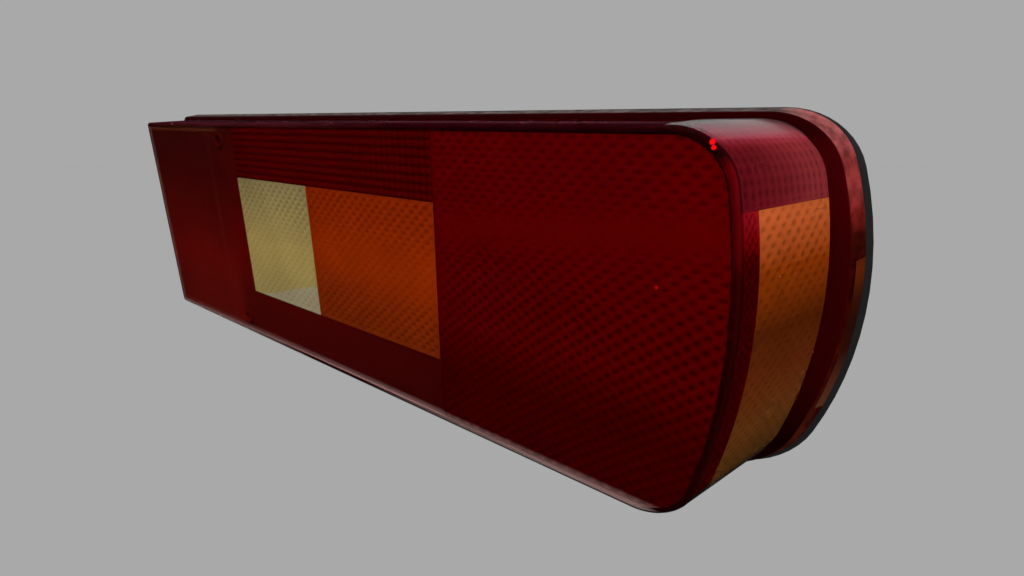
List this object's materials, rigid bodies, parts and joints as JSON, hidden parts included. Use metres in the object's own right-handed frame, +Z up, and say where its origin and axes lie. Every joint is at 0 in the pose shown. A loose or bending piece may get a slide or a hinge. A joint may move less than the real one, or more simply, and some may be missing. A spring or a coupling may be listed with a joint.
{
  "type": "tail light cluster",
  "caption": "Wrap-around right tail lamp: flat red lens with clear and amber windows, flared flange and rim, stud-mounted housing with reflector, bulbs and rear carrier.",
  "frame": {"origin": "centre of the mounting studs, on the plane where the body gasket meets the car's panel", "axes": "+X from the boot side to the outer side of the car, +Y into the car body along the studs, +Z up"},
  "size_m": [0.4427, 0.1242, 0.144],
  "materials": {
    "red_acrylic": "polished moulded acrylic with optics on its inner side",
    "clear_acrylic": "polished moulded acrylic, slightly yellowed",
    "amber_acrylic": "polished moulded acrylic",
    "black_rubber": "moulded rubber",
    "gasket_foam": "closed-cell foam",
    "zinc_plated_steel": "zinc plated",
    "black_abs": "fine-grained moulding",
    "metallised_plastic": "vacuum-metallised",
    "carrier_nylon": "natural moulded nylon",
    "bulb_glass": "blown glass",
    "bulb_cap_brass": "nickelled brass",
    "filament_wire": "drawn wire",
    "contact_brass": "stamped strip"
  },
  "bodies": {
    "root": {"lens": "red_acrylic", "reverse_window": "clear_acrylic", "indicator_window": "amber_acrylic", "side_window": "amber_acrylic", "lens_seal": "black_rubber", "lens_screws": "zinc_plated_steel", "housing": "black_abs", "body_gasket": "gasket_foam", "mounting_studs": "zinc_plated_steel", "reflector_tray": "metallised_plastic", "carrier_seal": "black_rubber", "bulb_carrier": "carrier_nylon", "fog_bulb_glass": "bulb_glass", "fog_bulb_cap": "bulb_cap_brass", "fog_bulb_filament": "filament_wire", "reverse_bulb_glass": "bulb_glass", "reverse_bulb_cap": "bulb_cap_brass", "reverse_bulb_filament": "filament_wire", "indicator_bulb_glass": "bulb_glass", "indicator_bulb_cap": "bulb_cap_brass", "indicator_bulb_filament": "filament_wire", "stop_bulb_glass": "bulb_glass", "stop_bulb_cap": "bulb_cap_brass", "stop_bulb_filament": "filament_wire", "side_bulb_glass": "bulb_glass", "side_bulb_cap": "bulb_cap_brass", "side_bulb_filament": "filament_wire", "ground_strip": "contact_brass", "reverse_strip": "contact_brass", "fog_strip": "contact_brass", "side_strip": "contact_brass", "tail_strip": "contact_brass", "stop_strip": "contact_brass", "indicator_strip": "contact_brass", "vent_cap": "black_rubber"}
  },
  "joints": []
}
